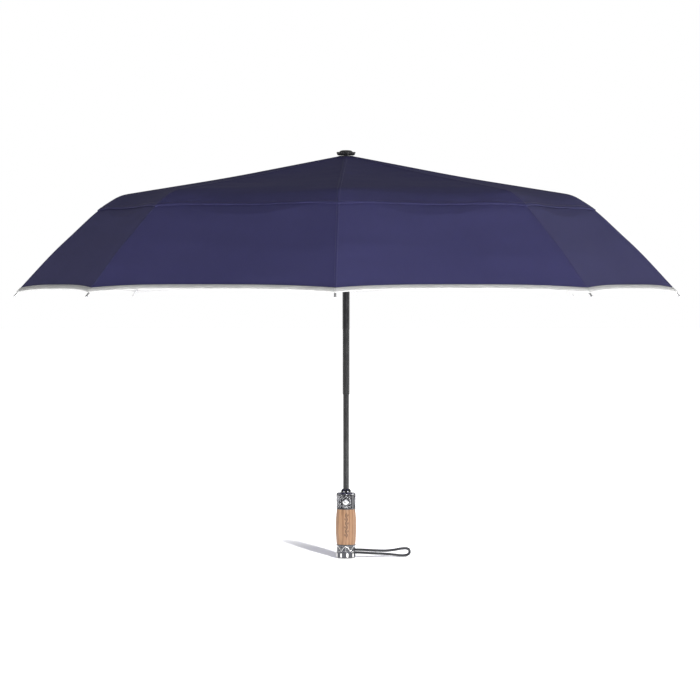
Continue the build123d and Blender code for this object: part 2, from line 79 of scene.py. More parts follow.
camera_data = bpy.data.cameras.new("camera")
camera_data.sensor_width = 36
camera_data.lens = 36 * view_distance / picture_width
camera_data.clip_end = 60
camera_data.shift_x = sideways / picture_width
camera = bpy.data.objects.new("camera", camera_data)
camera.location = (view_distance * sin(view_turn), -view_distance * cos(view_turn), view_height)
camera.rotation_euler = (pi / 2 - atan2(view_height - aim_height, view_distance), 0, view_turn)
bpy.context.collection.objects.link(camera)
scene = bpy.context.scene
scene.camera = camera

# ------------------------------------------------------------------ floor and light
# A pale floor whose glow is painted light: faint near the handle and rising to full white away
# from it, which washes out shadows there. Above it a sky that is brighter on both sides than in
# front. A lamp that lights only the floor throws the handle's shadow back along it.


class Value:
    """A number that changes over a surface; arithmetic on it adds Math nodes to its finish."""

    def __init__(self, finish, socket):
        self.finish = finish
        self.socket = socket

    def math(self, operation, *operands):
        inputs = dict(enumerate(operands))
        return self.finish.node("ShaderNodeMath", {"operation": operation}, inputs)

    def __add__(self, other):
        return self.math("ADD", self, other)

    def __sub__(self, other):
        return self.math("SUBTRACT", self, other)

    def __mul__(self, other):
        return self.math("MULTIPLY", self, other)

    def __rsub__(self, other):
        return self.math("SUBTRACT", other, self)

    __radd__ = __add__
    __rmul__ = __mul__

    def sine(self):
        return self.math("SINE", self)

    def power(self, exponent):
        return self.math("POWER", self, exponent)

    def size(self):
        return self.math("ABSOLUTE", self)

    def step(self, low, high):
        """0 below low, 1 above high and a smooth rise between."""
        settings = {"interpolation_type": "SMOOTHSTEP"}
        inputs = {"Value": self, "From Min": low, "From Max": high}
        return self.finish.node("ShaderNodeMapRange", settings, inputs)


class Finish:
    """A material in the making: node() adds a node, surface() sets what the shader shows."""

    def __init__(self, name):
        self.material = bpy.data.materials.new(name)
        self.material.use_nodes = True
        self.tree = self.material.node_tree
        self.shader = self.tree.nodes["Principled BSDF"]

    def node(self, kind, settings=None, inputs=None, output=0):
        made = self.tree.nodes.new(kind)
        for name, setting in (settings or {}).items():
            if name == "stops":
                self.set_stops(made.color_ramp.elements, setting)
            else:
                setattr(made, name, setting)
        for name, value in (inputs or {}).items():
            self.feed(made.inputs[name], value)
        return Value(self, made.outputs[output])

    def set_stops(self, elements, stops):
        while len(elements) < len(stops):
            elements.new(1)
        for element, (place, colour) in zip(elements, stops):
            element.position = place
            element.color = (*colour, 1)

    def feed(self, socket, value):
        if isinstance(value, Value):
            self.tree.links.new(value.socket, socket)
        elif isinstance(value, tuple) and len(value) == 3 and socket.type == "RGBA":
            socket.default_value = (*value, 1)
        else:
            socket.default_value = value

    def surface(self, **inputs):
        for name, value in inputs.items():
            self.feed(self.shader.inputs[name.replace("_", " ")], value)
        return self.material

    def place(self, source="Object"):
        return self.node("ShaderNodeTexCoord", output=source)

    def parts(self, vector):
        """The x, y and z of a vector, each a number."""
        return [self.node("ShaderNodeSeparateXYZ", None, {0: vector}, i) for i in range(3)]

    def noise(self, vector, scale, detail=3.0, roughness=0.5):
        inputs = {"Vector": vector, "Scale": scale, "Detail": detail, "Roughness": roughness}
        return self.node("ShaderNodeTexNoise", None, inputs)

    def stretched(self, vector, factors):
        inputs = {"Vector": vector, "Scale": factors}
        return self.node("ShaderNodeMapping", None, inputs)

    def blend(self, factor, low, high):
        """A colour between two others."""
        settings = {"data_type": "RGBA"}
        return self.node("ShaderNodeMix", settings, {0: factor, 6: low, 7: high}, 2)

    def bump(self, height, distance, strength=1.0):
        inputs = {"Height": height, "Distance": distance, "Strength": strength}
        return self.node("ShaderNodeBump", None, inputs)


floor_finish = Finish("floor")
floor_x, floor_y, _ = floor_finish.parts(floor_finish.place())
floor_reach = (floor_x * floor_x + floor_y * floor_y).power(0.5)
# Painted light: the floor's emission glows faintly near the handle and rises to full white further out.
glow_rise_start, glow_rise_end = 0.20, 0.66
floor_finish.surface(
    Base_Color=(0.86, 0.86, 0.86),
    Roughness=0.7,
    Specular_IOR_Level=0.1,
    Emission_Color=floor_finish.blend(
        floor_reach.step(glow_rise_start, glow_rise_end), (0.18, 0.18, 0.18), (1.0, 1.0, 1.0)
    ),
    Emission_Strength=1.0,
)
floor_mesh = bpy.data.meshes.new("floor")
floor_bm = bmesh.new()
bmesh.ops.create_circle(floor_bm, cap_ends=True, segments=96, radius=30)
floor_bm.to_mesh(floor_mesh)
floor_mesh.materials.append(floor_finish.material)
floor = bpy.data.objects.new("floor", floor_mesh)
floor.location.z = cad_box[0][2] - 0.0002
bpy.context.collection.objects.link(floor)

sky = bpy.data.worlds.new("sky")
sky.use_nodes = True
sky_tree = sky.node_tree
sky_light = sky_tree.nodes["Background"]
sky_seen = sky_tree.nodes.new("ShaderNodeBackground")
sky_seen.inputs["Color"].default_value = (1, 1, 1, 1)
sky_place = sky_tree.nodes.new("ShaderNodeTexCoord")
sky_split = sky_tree.nodes.new("ShaderNodeSeparateXYZ")
sky_level = sky_tree.nodes.new("ShaderNodeMapRange")
sky_level.inputs["From Min"].default_value = -1
sky_ramp = sky_tree.nodes.new("ShaderNodeValToRGB")
sky_sides = [(0.0, 0.95), (0.05, 0.85), (0.14, 0.22), (0.62, 0.24), (0.86, 0.50), (1.0, 1.0)]
while len(sky_ramp.color_ramp.elements) < len(sky_sides):
    sky_ramp.color_ramp.elements.new(0.5)
for element, (across, tone) in zip(sky_ramp.color_ramp.elements, sky_sides):
    element.position = across
    element.color = (tone, tone, tone, 1)
sky_light.inputs["Strength"].default_value = 1.1
sky_path = sky_tree.nodes.new("ShaderNodeLightPath")
sky_mix = sky_tree.nodes.new("ShaderNodeMixShader")
for source, target in (
    (sky_place.outputs["Generated"], sky_split.inputs[0]),
    (sky_split.outputs["X"], sky_level.inputs["Value"]),
    (sky_level.outputs[0], sky_ramp.inputs["Fac"]),
    (sky_ramp.outputs["Color"], sky_light.inputs["Color"]),
    (sky_path.outputs["Is Camera Ray"], sky_mix.inputs[0]),
    (sky_light.outputs[0], sky_mix.inputs[1]),
    (sky_seen.outputs[0], sky_mix.inputs[2]),
    (sky_mix.outputs[0], sky_tree.nodes["World Output"].inputs["Surface"]),
):
    sky_tree.links.new(source, target)
scene.world = sky
scene.view_settings.view_transform = "Standard"


def lamp(name, place, target, width, power):
    """A square soft lamp turned to face its target."""
    light = bpy.data.lights.new(name, "AREA")
    light.size = width
    light.energy = power
    holder = bpy.data.objects.new(name, light)
    holder.location = place
    aim = Vector(target) - Vector(place)
    holder.rotation_euler = aim.to_track_quat("-Z", "Y").to_euler()
    bpy.context.collection.objects.link(holder)
    return holder


lamp("low_front", (0.6, -4.0, 1.30), (0, 0, 0.1), 0.60, 40)
lamp("high_right", (3.8, 0.6, 1.7), (0, 0, 0.4), 1.4, 34)
floor_lamp = lamp("floor_lamp", (1.15, -3.9, 1.20), (0, 0, 0), 0.16, 720)
only_floor = bpy.data.collections.new("lit_by_floor_lamp")
only_floor.objects.link(floor)
floor_lamp.light_linking.receiver_collection = only_floor

# ------------------------------------------------------------------ wrist strap
# A round braided polyester cord, doubled: both ends are held inside the end cap and the far end
# closes in a small open loop that rests on its edge.

strap_diameter = 0.0042
strand_relief = 0.00022
strands = 4
strap_around = 28
ring_spacing = 0.00035
strap_route = [
    (0.0103, 0, 0.0136),
    (0.021, 0, 0.0136),
    (0.040, 0.0034, 0.0122),
    (0.061, 0.0126, 0.0108),
    (0.075, 0.0205, 0.0116),
    (0.086, 0.0274, 0.0134),
    (0.0945, 0.0328, 0.0136),
    (0.0992, 0.0356, 0.0108),
    (0.0992, 0.0354, 0.0052),
    (0.0945, 0.0324, 0.0022),
    (0.086, 0.0268, 0.0024),
    (0.075, 0.0195, 0.0042),
    (0.061, 0.0118, 0.0062),
    (0.040, 0.0030, 0.0077),
    (0.021, 0, 0.0091),
    (0.0103, 0, 0.0091),
]
strap_curve = bpy.data.curves.new("strap_route", "CURVE")
strap_curve.dimensions = "3D"
strap_curve.resolution_u = 24
strap_spline = strap_curve.splines.new("NURBS")
strap_spline.points.add(len(strap_route) - 1)
for point, where in zip(strap_spline.points, strap_route):
    point.co = (*where, 1)
strap_spline.order_u = 3
strap_spline.use_endpoint_u = True
strap_holder = bpy.data.objects.new("strap_route", strap_curve)
bpy.context.collection.objects.link(strap_holder)
bpy.context.view_layer.update()
strap_seen = strap_holder.evaluated_get(bpy.context.evaluated_depsgraph_get())
strap_line = [v.co.copy() for v in bpy.data.meshes.new_from_object(strap_seen).vertices]
bpy.data.objects.remove(strap_holder)


def evenly(points, spacing):
    """The same line with its points about one spacing apart."""
    lengths = [(b - a).length for a, b in zip(points, points[1:])]
    total = sum(lengths)
    count = max(2, round(total / spacing))
    result, index, walked = [points[0].copy()], 0, 0.0
    for step in range(1, count):
        goal = total * step / count
        while walked + lengths[index] < goal:
            walked += lengths[index]
            index += 1
        share = (goal - walked) / lengths[index]
        result.append(points[index].lerp(points[index + 1], share))
    return result + [points[-1].copy()]


def new_piece(name, mesh, material, body):
    """A finished piece at the origin, riding on a body."""
    mesh.materials.clear()
    mesh.materials.append(material)
    piece = bpy.data.objects.new(name, mesh)
    bpy.context.collection.objects.link(piece)
    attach(piece, body)
    return piece


def finished(name, mesh, material, body):
    """A piece shown in place of the plain solid of the same name."""
    piece = new_piece(name, mesh, material, body)
    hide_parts(name)
    return piece


def smooth_mesh(name, points, faces):
    mesh = bpy.data.meshes.new(name)
    mesh.from_pydata([tuple(p) for p in points], [], faces)
    mesh.shade_smooth()
    mesh.update()
    return mesh


def add_uv(mesh, coordinates):
    """Gives a mesh the UV map that its pattern follows, one pair of numbers for each point."""
    layer = mesh.uv_layers.new(name="UVMap")
    for loop in mesh.loops:
        layer.data[loop.index].uv = coordinates[loop.vertex_index]


def skin_faces(rings, around, flipped=False):
    """Faces between rings of points that follow each other, with the first and last ring closed."""
    faces = []
    for ring in range(rings - 1):
        for step in range(around):
            a, b = ring * around + step, ring * around + (step + 1) % around
            c, d = b + around, a + around
            faces.append((a, d, c, b) if flipped else (a, b, c, d))
    first, last = range(around), range((rings - 1) * around, rings * around)
    ends = (first, reversed(last)) if flipped else (reversed(first), last)
    return faces + [tuple(end) for end in ends]


def braided_tube(name, line, radius, around, relief, plaits):
    """A closed tube along a line, its skin raised where the braid's strands cross over."""
    side = Vector((0, 1, 0))
    points, coordinates, walked = [], [], 0.0
    for index, centre in enumerate(line):
        ahead = line[min(index + 1, len(line) - 1)]
        behind = line[max(index - 1, 0)]
        tangent = (ahead - behind).normalized()
        side = (side - tangent * side.dot(tangent)).normalized()
        other = tangent.cross(side)
        if index:
            walked += (centre - line[index - 1]).length
        for step in range(around):
            angle = 2 * pi * step / around
            turns = walked / (pi * radius)
            crossing = sin(plaits * angle + 2 * pi * turns) * sin(plaits * angle - 2 * pi * turns)
            reach = radius - relief * (0.5 - 0.5 * crossing)
            points.append(centre + (side * cos(angle) + other * sin(angle)) * reach)
            coordinates.append((walked, angle * radius))
    mesh = smooth_mesh(name, points, skin_faces(len(line), around))
    add_uv(mesh, coordinates)
    return mesh


cord_finish = Finish("braided_cord")
cord_place = cord_finish.place("UV")
cord_along, cord_round, _ = cord_finish.parts(cord_place)
braid_pitch = 4200
cord_cross = ((cord_along + cord_round) * braid_pitch).sine()
cord_cross = cord_cross * ((cord_along - cord_round) * braid_pitch).sine()
cord_fuzz = cord_finish.noise(cord_finish.place(), 2600, 2.0)
cord_finish.surface(
    Base_Color=cord_finish.blend(cord_fuzz, (0.020, 0.020, 0.023), (0.055, 0.055, 0.060)),
    Roughness=0.72 + 0.16 * cord_fuzz,
    Normal=cord_finish.bump(cord_cross + cord_fuzz, 0.00006, 0.6),
    Sheen_Weight=0.25,
)

strap = new_piece(
    "wrist_strap",
    braided_tube(
        "wrist_strap",
        evenly(strap_line, ring_spacing),
        strap_diameter / 2,
        strap_around,
        strand_relief,
        strands,
    ),
    cord_finish.material,
    "handle",
)
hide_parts("strap")
[tuple(p) for p in evenly(strap_line, 0.001)]

# ------------------------------------------------------------------ canopy cloth
# Tight pongee cut in eight gores and stretched over the ribs, in two layers: the upper one ends
# in a hem just past the knees, and the lower one starts inside it, so that wind blows through.

rib_count = 8
halves = ((-1, "right"), (1, "left"))
gore_angle = 2 * pi / rib_count
layer_gap = 0.0013
cloth_above_fold = 0.0055
cloth_above_knee = 0.0100
hem_arch = 0.0070
vent_arch = 0.0065
vent_hem_inset = 0.003
rod_length = 0.2229
rod_bow = radians(12)
rod_slope = radians(-36.85)
rod_lift = 0.0018
fork_block = 0.0240
skirt_places = [(0.0368, 0.0088), (0.0906, 0.0058), (0.1390, 0.0046), (0.2151, 0.0032)]
seam_width = 0.0030
seam_lift = 0.0004
fold_softness = 0.045
knee_softness_at_rib = 0.012
knee_softness_mid_gore = 0.060
cloth_sag = 0.0035
pull_ripple = 0.0006
row_spacing = 0.006
half_gore_columns = 16
threads_per_metre = 2300

joint_of = {joint["name"]: joint for joint in frame["joints"]}


def on_rib(joint_name):
    """Radius and height of a rib's pivot."""
    x, y, z = joint_of[joint_name]["pos_m"]
    return Vector((sqrt(x * x + y * y), z))


def over_rod(distance, gap):
    """Radius and height some way along an outer rib's bowed rod and off it towards the cloth."""
    radius = (rod_length - fork_block) / rod_bow
    bend = max(0.0, distance - fork_block) / radius
    along = min(distance, fork_block) + (radius + gap) * sin(bend)
    off = rod_lift - radius + (radius + gap) * cos(bend)
    tilt = Vector((cos(rod_slope), sin(rod_slope)))
    return knee_pivot + tilt * along + Vector((-tilt.y, tilt.x)) * off


def curve_through(points, spacing):
    """Points close together on a smooth line through a few."""
    ends = [points[0] * 2 - points[1], *points, points[-1] * 2 - points[-2]]
    line = []
    for a, b, c, d in zip(ends, ends[1:], ends[2:], ends[3:]):
        for step in range(20):
            t = step / 20
            bend = (c - a) * t + (a * 2 - b * 5 + c * 4 - d) * t**2 + (b * 3 - a - c * 3 + d) * t**3
            line.append(b + bend / 2)
    return evenly(line + [points[-1]], spacing)


upper_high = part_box("upper_canopy")[1]
knee_pivot = on_rib("outer_rib_1_hinge")
skirt = [over_rod(*place) for place in skirt_places]
knee_corner = knee_pivot + Vector((0, cloth_above_knee))
corners = [
    Vector((0.0036, upper_high[2])),
    on_rib("middle_rib_1_hinge") + Vector((0, cloth_above_fold)),
    knee_corner,
    skirt[-1],
]
skirt_line = curve_through([knee_corner, *skirt], 0.004)
skirt_step = (skirt_line[1] - skirt_line[0]).length
hub_station = 0.0
fold_station = (corners[1] - corners[0]).length
knee_station = fold_station + (corners[2] - corners[1]).length
rim_station = knee_station + skirt_step * (len(skirt_line) - 1)
stations = [hub_station, fold_station, knee_station, rim_station]


def sharp_profile(walked):
    """Radius and height of the cloth over a rib, with its two bends still sharp."""
    if walked > knee_station:
        steps = (walked - knee_station) / skirt_step
        index = min(int(steps), len(skirt_line) - 2)
        return skirt_line[index] + (skirt_line[index + 1] - skirt_line[index]) * (steps - index)
    index = 0 if walked < fold_station else 1
    inner, outer = corners[index], corners[index + 1]
    return inner + (outer - inner).normalized() * (walked - stations[index])


def profile(walked, knee_softness):
    """Radius and height of the cloth over a rib, some way down it from the hub."""
    for station, softness in ((fold_station, fold_softness), (knee_station, knee_softness)):
        off = walked - station
        if abs(off) < softness:
            start, corner = sharp_profile(station - softness), sharp_profile(station)
            end = sharp_profile(station + softness)
            share = 0.5 + off / (2 * softness)
            return start.lerp(corner, share).lerp(corner.lerp(end, share), share)
    return sharp_profile(walked)


def cloth_point(rib, side, walked, across):
    """A point of the cloth: across runs from 0 on the rib to 1 in the middle of the gore."""
    middle = across * (2 - across)
    softness = knee_softness_at_rib + middle * (knee_softness_mid_gore - knee_softness_at_rib)
    radius, height = profile(walked, softness)
    here, there = rib * gore_angle, (rib + side) * gore_angle
    own = Vector((radius * cos(here), radius * sin(here), height))
    next_rib = Vector((radius * cos(there), radius * sin(there), height))
    point = own.lerp(next_rib, across / 2)
    panel = sin(pi * min(1, walked / knee_station)) if walked < knee_station else 0
    lower = sin(pi * min(1, max(0, (walked - knee_station) / (rim_station - knee_station))))
    point.z -= cloth_sag * middle * panel
    point -= Vector((cos(here), sin(here), 1)).normalized() * (0.8 * cloth_sag * middle * lower)
    pull = max(0.0, 1 - across) ** 2 * across * 6.75
    ripple = sin(walked * 92 + rib * 1.7 + side * 0.6) * sin(walked * 37 + rib * 2.9)
    point.z += pull_ripple * pull * ripple * min(1, walked / 0.1)
    return point


def cloth_normal(rib, side, walked, across):
    step = 0.0005
    low, high = max(0.0, across - 0.004), min(1.0, across + 0.004)
    down = cloth_point(rib, side, walked + step, across) - cloth_point(rib, side, walked - step, across)
    over = cloth_point(rib, side, walked, high) - cloth_point(rib, side, walked, low)
    if across > 0.99:
        middle = (rib + side / 2) * gore_angle
        over = Vector((-sin(middle), cos(middle), 0)) * side
    return (down.cross(over) * side).normalized()


def half_gore_width(walked):
    return profile(walked, knee_softness_at_rib)[0] * sin(gore_angle / 2)


outer_run = (corners[3] - corners[2]).normalized()
outer_along = Vector((outer_run[0], 0, outer_run[1]))
cloth_knee = cloth_point(0, 1, knee_station, 0)


def level_with_knee(across):
    """How far down the gore the cloth is level with the knee, measured along the outer rib."""
    low, high = knee_station, rim_station
    for _ in range(40):
        middle = (low + high) / 2
        if (cloth_point(0, 1, middle, across) - cloth_knee).dot(outer_along) < 0:
            low = middle
        else:
            high = middle
    return low


vent_station = knee_station + (skirt[0] - knee_corner).length
hole_station = fold_station + 0.052


def hem_station(across):
    return rim_station - hem_arch * (1 - (1 - across) ** 3)


def vent_hem_station(across):
    return vent_station - vent_arch * (1 - (1 - across) ** 3)


def vent_start(across):
    """Where the upper layer's outer panel starts: level with the knee, or just inside its hem."""
    return min(level_with_knee(across), vent_hem_station(across) - vent_hem_inset)


def constant(value):
    return lambda across: value


def cloth_patch(name, rib, side, start, end, lift, rows, columns):
    """Cloth between two stations, as a grid from the rib to the middle of the gore."""
    points, normals, flat = [], [], []
    for row in range(rows + 1):
        share = row / rows
        beside = seam_width / half_gore_width(start(0) + (end(0) - start(0)) * share)
        beside = min(beside, 0.45)
        spread = [beside + (1 - beside) * step / (columns - 2) for step in range(columns - 1)]
        spread[1:1] = [beside * 1.12]
        for column, across in enumerate([0.0, *spread]):
            low, high = start(across), end(across)
            walked = low + (high - low) * share
            normal = cloth_normal(rib, side, walked, across)
            raised = lift + (seam_lift if column < 2 else 0)
            points.append(cloth_point(rib, side, walked, across) + normal * raised)
            normals.append(normal)
            flat.append((walked, side * across * half_gore_width(walked)))
    faces, width = [], columns + 1
    for row in range(rows):
        for column in range(columns):
            a = row * width + column
            quad = (a, a + width, a + width + 1, a + 1)
            if (points[a] - points[a + width]).length < 1e-6:
                quad = (a, a + width + 1, a + 1)
            faces.append(quad if side > 0 else tuple(reversed(quad)))
    mesh = smooth_mesh(name, points, faces)
    add_uv(mesh, flat)
    mesh.normals_split_custom_set_from_vertices([tuple(n) for n in normals])
    return mesh


def rib_point(rib, corner):
    angle = rib * gore_angle
    return Vector((corner[0] * cos(angle), corner[0] * sin(angle), corner[1]))


def gather(piece, rib, side, link):
    """Gives a half gore a mesh of its own; the rib's direction, the way across and the anchor are worked
    out but not used.
    """
    here, there = rib * gore_angle, (rib + side) * gore_angle
    along = (rib_point(rib, corners[link + 1]) - rib_point(rib, corners[link])).normalized()
    over = Vector((cos(there) - cos(here), sin(there) - sin(here), 0))
    anchor = rib_point(rib, corners[link + 1])
    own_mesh(piece)


def gather_at_knee(piece, rib):
    """Gives the cloth beside a knee a mesh of its own; the knee's point is worked out but not used."""
    knee = rib_point(rib, corners[2])
    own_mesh(piece)


def weave(finish, tone, deep_tone):
    """The colour and relief of tight plain-woven cloth, a little uneven over a hand's width."""
    place = finish.place("UV")
    down, over, _ = finish.parts(place)
    pitch = 2 * pi * threads_per_metre
    threads = (down * pitch).sine() * (over * pitch).sine()
    cloud = finish.noise(finish.place(), 9, 3.0)
    slub = finish.noise(finish.stretched(place, (40, 1600, 1)), 1, 2.0)
    shade = 0.30 * threads + 0.45 * cloud + 0.25 * slub
    crease = finish.noise(finish.stretched(finish.place(), (16, 16, 30)), 1, 2.0, 0.4)
    relief = 0.04 * threads + 1.0 * crease
    finish.surface(
        Base_Color=finish.blend(shade.step(0.1, 0.75), deep_tone, tone),
        Roughness=0.58 + 0.12 * slub,
        Normal=finish.bump(relief, 0.0012, 0.4),
        Specular_IOR_Level=0.10,
    )
    return finish.material


navy = weave(Finish("navy_pongee"), (0.040, 0.038, 0.106), (0.031, 0.030, 0.089))

cloth_pieces, cuts, trims = {}, {}, {}
patches = [
    ("upper_top", "top_rib", 0, constant(hub_station + 0.004), constant(fold_station), 0),
    ("upper_middle", "middle_rib", 1, constant(fold_station), constant(knee_station), 0),
    ("upper_corner", "middle_rib", None, constant(knee_station), vent_start, 0),
    ("upper_outer", "outer_rib", 2, vent_start, vent_hem_station, 0),
    ("lower_middle", "middle_rib", 1, constant(hole_station), constant(knee_station), -layer_gap),
    ("lower_corner", "middle_rib", None, constant(knee_station), level_with_knee, -layer_gap),
    ("lower_outer", "outer_rib", 2, level_with_knee, hem_station, -layer_gap),
]
for kind, link_name, link, start, end, lift in patches:
    longest = max(end(share) - start(share) for share in (0, 0.5, 1))
    rows = max(3, round(longest / row_spacing))
    lengths = [end(share) - start(share) for share in (0, 0.25, 0.5, 0.75, 1)]
    wide, narrow = half_gore_width(end(0)), half_gore_width(start(1))
    area = sum(lengths) / len(lengths) * (wide + narrow) / 2
    for rib in range(rib_count):
        for side, side_name in halves:
            name = f"{kind}_{rib + 1}_{side_name}"
            mesh = cloth_patch(name, rib, side, start, end, lift, rows, half_gore_columns)
            piece = new_piece(name, mesh, navy, f"{link_name}_{rib + 1}")
            cloth_pieces[kind, rib, side] = piece
            trims[kind, rib, side] = []
            if link is None:
                gather_at_knee(piece, rib)
            else:
                gather(piece, rib, side, link)
            cuts[kind, rib, side] = ((longest, wide), area, f"{link_name}_{rib + 1}")
            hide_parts("upper_canopy" if kind.startswith("upper") else "lower_canopy")

# ------------------------------------------------------------------ edge binding
# A pale reflective tape folded over the raw edge of the lower layer and sewn through, one length
# to a gore. It reads as a bright line all round the canopy.

binding_width = 0.0088
binding_thickness = 0.0010
binding_overhang = 0.001
binding_columns = 28

binding_finish = Finish("reflective_tape")
tape_grain = binding_finish.noise(binding_finish.place(), 900, 2.0)
tape_cloud = binding_finish.noise(binding_finish.place(), 30, 2.0)
binding_finish.surface(
    Base_Color=binding_finish.blend(tape_cloud, (0.40, 0.40, 0.40), (0.52, 0.52, 0.51)),
    Roughness=0.42 + 0.15 * tape_grain,
    Metallic=0.15,
    Normal=binding_finish.bump(tape_grain, 0.00008, 0.5),
)


def band(name, rib, side, station, width, section, columns):
    """A strip along a cloth edge; section gives (share of the width, lift) round its outline."""
    points, flat = [], []
    for column in range(columns + 1):
        across = column / columns
        for share, lift in section:
            walked = station(across) - width * share
            normal = cloth_normal(rib, side, walked, across)
            points.append(cloth_point(rib, side, walked, across) + normal * lift)
            flat.append((walked, side * across * half_gore_width(walked)))
    count = len(section)
    faces = []
    for column in range(columns):
        for index in range(count):
            a = column * count + index
            b = column * count + (index + 1) % count
            quad = (a, b, b + count, a + count)
            faces.append(quad if side > 0 else tuple(reversed(quad)))
    mesh = smooth_mesh(name, points, faces)
    add_uv(mesh, flat)
    return mesh


def tape_section(level, thickness):
    """Round-edged outline of a tape folded over an edge, seen end on."""
    half = thickness / 2
    return [
        (1.0, level + 0.3 * half),
        (0.96, level + half),
        (0.5, level + half),
        (0.08, level + half),
        (0.0, level + 0.5 * half),
        (-0.02, level),
        (0.0, level - 0.5 * half),
        (0.08, level - half),
        (0.5, level - half),
        (0.96, level - half),
        (1.0, level - 0.3 * half),
    ]


def binding_edge(across):
    """The tape's outer edge, just past the hem's raw edge."""
    return hem_station(across) + binding_overhang


for rib in range(rib_count):
    for side, side_name in halves:
        name = f"edge_binding_{rib + 1}_{side_name}"
        section = tape_section(-layer_gap, 2 * binding_thickness)
        mesh = band(name, rib, side, binding_edge, binding_width, section, binding_columns)
        piece = new_piece(name, mesh, binding_finish.material, f"outer_rib_{rib + 1}")
        gather(piece, rib, side, 2)
        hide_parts("edge_binding")
        trims["lower_outer", rib, side].append(piece)

# ------------------------------------------------------------------ hems and stitching
# The upper layer ends in a turned hem, and every seam, hem and tape is sewn with a row of small
# lockstitches in matching thread, laid by one stitch tree along a drawn line.

vent_hem_width = 0.0080
vent_hem_level = -0.0001
vent_hem_thickness = 0.0012
vent_thread_lift = 0.0005
stitch_pitch = 0.0030
stitch_length = 0.0024
thread_radius = 0.00016
stitch_inset = 0.0012
hem_columns = 24

thread_finish = Finish("sewing_thread")
twist_x, twist_y, twist_z = thread_finish.parts(thread_finish.place())
thread_twist = ((twist_x + twist_y + twist_z) * 9000).sine()
thread_finish.surface(
    Base_Color=thread_finish.blend(thread_twist.step(-1, 1), (0.026, 0.022, 0.062), (0.060, 0.052, 0.130)),
    Roughness=0.45,
    Sheen_Weight=0.1,
)
pale_thread_finish = Finish("pale_thread")
pale_fuzz = pale_thread_finish.noise(pale_thread_finish.place(), 3000, 2.0)
pale_thread_finish.surface(
    Base_Color=pale_thread_finish.blend(pale_fuzz, (0.42, 0.42, 0.42), (0.60, 0.60, 0.60)),
    Roughness=0.5,
)


def stitch_tree():
    """Rounded stitches at an even pitch along every line of the mesh it is given."""
    tree = bpy.data.node_groups.new("stitches", "GeometryNodeTree")
    face = tree.interface
    face.new_socket("Geometry", in_out="INPUT", socket_type="NodeSocketGeometry")
    for name in ("Pitch", "Length", "Radius"):
        face.new_socket(name, in_out="INPUT", socket_type="NodeSocketFloat")
    face.new_socket("Thread", in_out="INPUT", socket_type="NodeSocketMaterial")
    face.new_socket("Geometry", in_out="OUTPUT", socket_type="NodeSocketGeometry")

    def add(kind, **settings):
        made = tree.nodes.new(kind)
        for name, setting in settings.items():
            setattr(made, name, setting)
        return made

    def link(source, output, target, entry):
        tree.links.new(source.outputs[output], target.inputs[entry])

    given, result = add("NodeGroupInput"), add("NodeGroupOutput")
    to_curve = add("GeometryNodeMeshToCurve")
    resample = add("GeometryNodeResampleCurve")
    menu = resample.inputs.get("Mode")
    if menu:
        menu.default_value = "Length"
    else:
        resample.mode = "LENGTH"
    place = add("GeometryNodeInstanceOnPoints")
    tangent = add("GeometryNodeInputTangent")
    turn = add("FunctionNodeAlignRotationToVector", axis="Z")
    stitch = add("GeometryNodeMeshIcoSphere")
    stitch.inputs["Subdivisions"].default_value = 2
    stitch.inputs["Radius"].default_value = 1.0
    half = add("ShaderNodeMath", operation="MULTIPLY")
    half.inputs[1].default_value = 0.5
    size = add("ShaderNodeCombineXYZ")
    realize, paint = add("GeometryNodeRealizeInstances"), add("GeometryNodeSetMaterial")
    link(given, "Geometry", to_curve, 0)
    link(to_curve, 0, resample, "Curve")
    link(given, "Pitch", resample, "Length")
    link(resample, 0, place, "Points")
    link(stitch, "Mesh", place, "Instance")
    link(tangent, 0, turn, "Vector")
    link(turn, 0, place, "Rotation")
    link(given, "Length", half, 0)
    link(given, "Radius", size, 0)
    link(given, "Radius", size, 1)
    link(half, 0, size, 2)
    link(size, 0, place, "Scale")
    link(place, 0, realize, 0)
    link(realize, 0, paint, "Geometry")
    link(given, "Thread", paint, "Material")
    link(paint, 0, result, 0)
    return tree


stitches = stitch_tree()
stitch_sockets = {item.name: item.identifier for item in stitches.interface.items_tree}


def made_by(tree, sockets, name, mesh, values):
    """The mesh that a geometry tree makes from another, with its inputs set."""
    holder = bpy.data.objects.new(name, mesh)
    bpy.context.collection.objects.link(holder)
    modifier = holder.modifiers.new(name, "NODES")
    modifier.node_group = tree
    for entry, value in values.items():
        modifier[sockets[entry]] = value
    bpy.context.view_layer.update()
    seen = holder.evaluated_get(bpy.context.evaluated_depsgraph_get())
    made = bpy.data.meshes.new_from_object(seen)
    holder.modifiers.clear()
    bpy.data.objects.remove(holder)
    made.name = name
    made.shade_smooth()
    return made


def stitched(name, lines, body, thread):
    """A piece of stitches along lines of points."""
    points, edges = [], []
    for line in lines:
        first = len(points)
        points += [tuple(point) for point in line]
        edges += [(first + i, first + i + 1) for i in range(len(line) - 1)]
    mesh = bpy.data.meshes.new(name)
    mesh.from_pydata(points, edges, [])
    values = {
        "Pitch": stitch_pitch,
        "Length": stitch_length,
        "Radius": thread_radius,
        "Thread": thread,
    }
    return new_piece(name, made_by(stitches, stitch_sockets, name, mesh, values), thread, body)


def on_cloth(rib, side, walked, across, lift):
    point = cloth_point(rib, side, walked, across)
    return point + cloth_normal(rib, side, walked, across) * lift


def seam_line(rib, side, start, end, inset, lift):
    """A line down a rib's seam, a fixed way in from the rib."""
    count = max(2, round((end - start) / row_spacing))
    line = []
    for step in range(count + 1):
        walked = start + (end - start) * step / count
        across = inset / half_gore_width(walked)
        line.append(on_cloth(rib, side, walked, across, lift))
    return line


def hem_line(rib, side, station, inset, lift):
    """A line along a hem, a fixed way in from its edge."""
    shares = [step / hem_columns for step in range(hem_columns + 1)]
    return [on_cloth(rib, side, station(share) - inset, share, lift) for share in shares]


